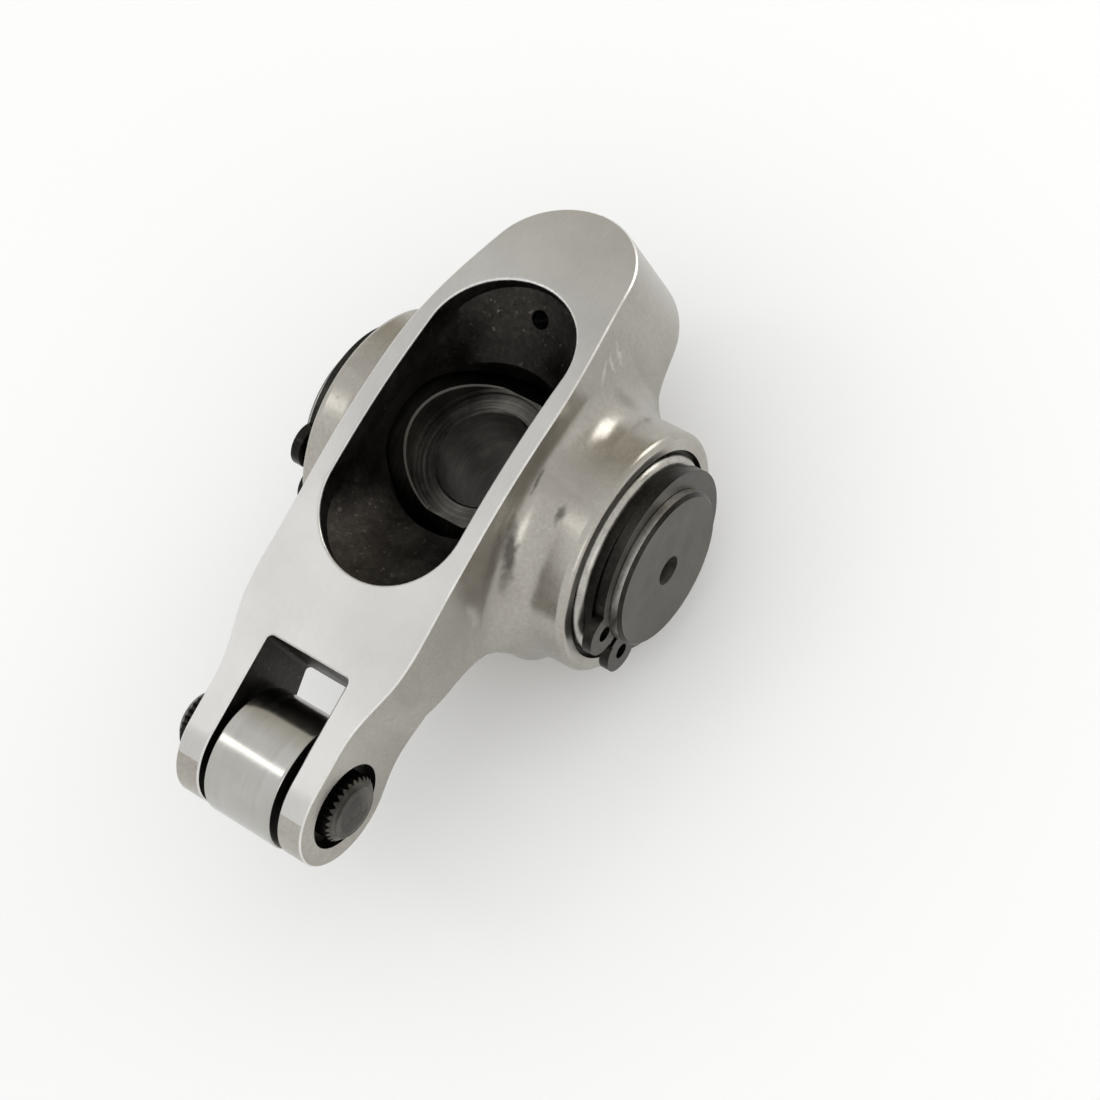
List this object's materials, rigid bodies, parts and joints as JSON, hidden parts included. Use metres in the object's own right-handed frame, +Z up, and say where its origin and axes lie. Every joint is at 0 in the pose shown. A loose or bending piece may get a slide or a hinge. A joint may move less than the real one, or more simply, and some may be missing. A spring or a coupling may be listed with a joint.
{
  "type": "rocker arm",
  "caption": "Stud-mounted roller rocker arm: cast body with open window, needle-bearing trunnion held by circlips, and a forked nose with a roller tip.",
  "frame": {"origin": "the trunnion's axis where it crosses the stud hole's axis, in the middle of the arm", "axes": "+Z up along the stud through the nut's seat, +X to the roller nose, +Y along the trunnion to the side whose boss the picture shows"},
  "size_m": [0.0666, 0.038, 0.0308],
  "materials": {
    "cast_stainless": "investment-cast stainless steel, polished flanks, fine-brushed top face, black inside the window",
    "phosphated_steel": "turned steel with a dark grey phosphate coat",
    "drawn_cup_steel": "bare hardened steel with a fine grain",
    "hardened_steel": "ground bright steel",
    "blackened_steel": "oiled black oxide"
  },
  "bodies": {
    "arm": {"rocker_body": "cast_stainless", "bearing_cup_left": "drawn_cup_steel", "bearing_cup_right": "drawn_cup_steel", "tip_axle": "blackened_steel", "pushrod_cup": "drawn_cup_steel"},
    "trunnion": {"trunnion": "phosphated_steel", "thrust_washer_left": "blackened_steel", "thrust_washer_right": "blackened_steel", "circlip_left": "blackened_steel", "circlip_right": "blackened_steel"},
    "roller": {"tip_roller": "hardened_steel"},
    "needle_set_left": {"needles_left": "hardened_steel"},
    "needle_set_right": {"needles_right": "hardened_steel"}
  },
  "joints": [
    {"name": "trunnion_spin", "type": "hinge", "parent": "arm", "child": "trunnion", "pos_m": [0, 0, 0], "axis": [0, 1, 0], "continuous": true},
    {"name": "roller_spin", "type": "hinge", "parent": "arm", "child": "roller", "pos_m": [0.0345, 0, 0.0075], "axis": [0, 1, 0], "continuous": true},
    {"name": "needles_left_roll", "type": "hinge", "parent": "arm", "child": "needle_set_left", "pos_m": [0, 0, 0], "axis": [0, 1, 0], "continuous": true},
    {"name": "needles_right_roll", "type": "hinge", "parent": "arm", "child": "needle_set_right", "pos_m": [0, 0, 0], "axis": [0, 1, 0], "continuous": true}
  ],
  "couplings": [
    {"joint": "needles_left_roll", "follows": "trunnion_spin", "ratio": 0.4545},
    {"joint": "needles_right_roll", "follows": "trunnion_spin", "ratio": 0.4545}
  ]
}
